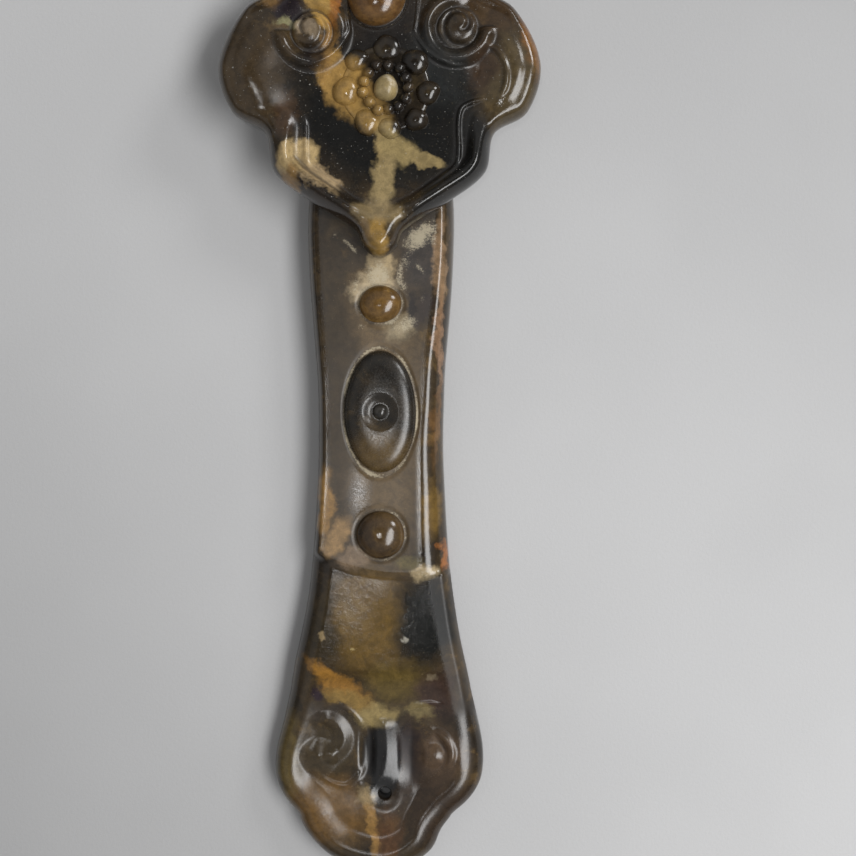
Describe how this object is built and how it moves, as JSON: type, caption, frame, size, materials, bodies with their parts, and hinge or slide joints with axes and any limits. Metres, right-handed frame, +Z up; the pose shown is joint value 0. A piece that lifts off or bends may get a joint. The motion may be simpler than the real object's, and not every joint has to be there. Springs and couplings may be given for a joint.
{
  "type": "ruyi scepter",
  "caption": "Flat-backed stone ruyi scepter with a raised cloud-shaped head, a waisted shaft with set bosses, and a scrolled tail drilled for a cord.",
  "frame": {"origin": "centre of the flat back's footprint box, at the surface that the scepter lies on", "axes": "+X across the face, +Y from the tail to the crown of the head, +Z up out of the face"},
  "size_m": [0.0692, 0.206, 0.0194],
  "materials": {
    "shaft_stone": "polished bevels, matt panel",
    "head_stone": "polished rim, matt ground",
    "tenon_stone": "sawn",
    "amber_stone": "polished",
    "brown_stone": "polished",
    "dark_stone": "polished",
    "cream_stone": "weathered polish"
  },
  "bodies": {
    "root": {"shaft": "shaft_stone", "head": "head_stone", "head_tenon": "tenon_stone", "upper_bead": "amber_stone", "medallion": "dark_stone", "medallion_stud": "dark_stone", "lower_bead": "brown_stone", "crown_boss": "amber_stone", "flower_petals": "brown_stone", "flower_stamens": "dark_stone", "flower_bead": "cream_stone"}
  },
  "joints": []
}
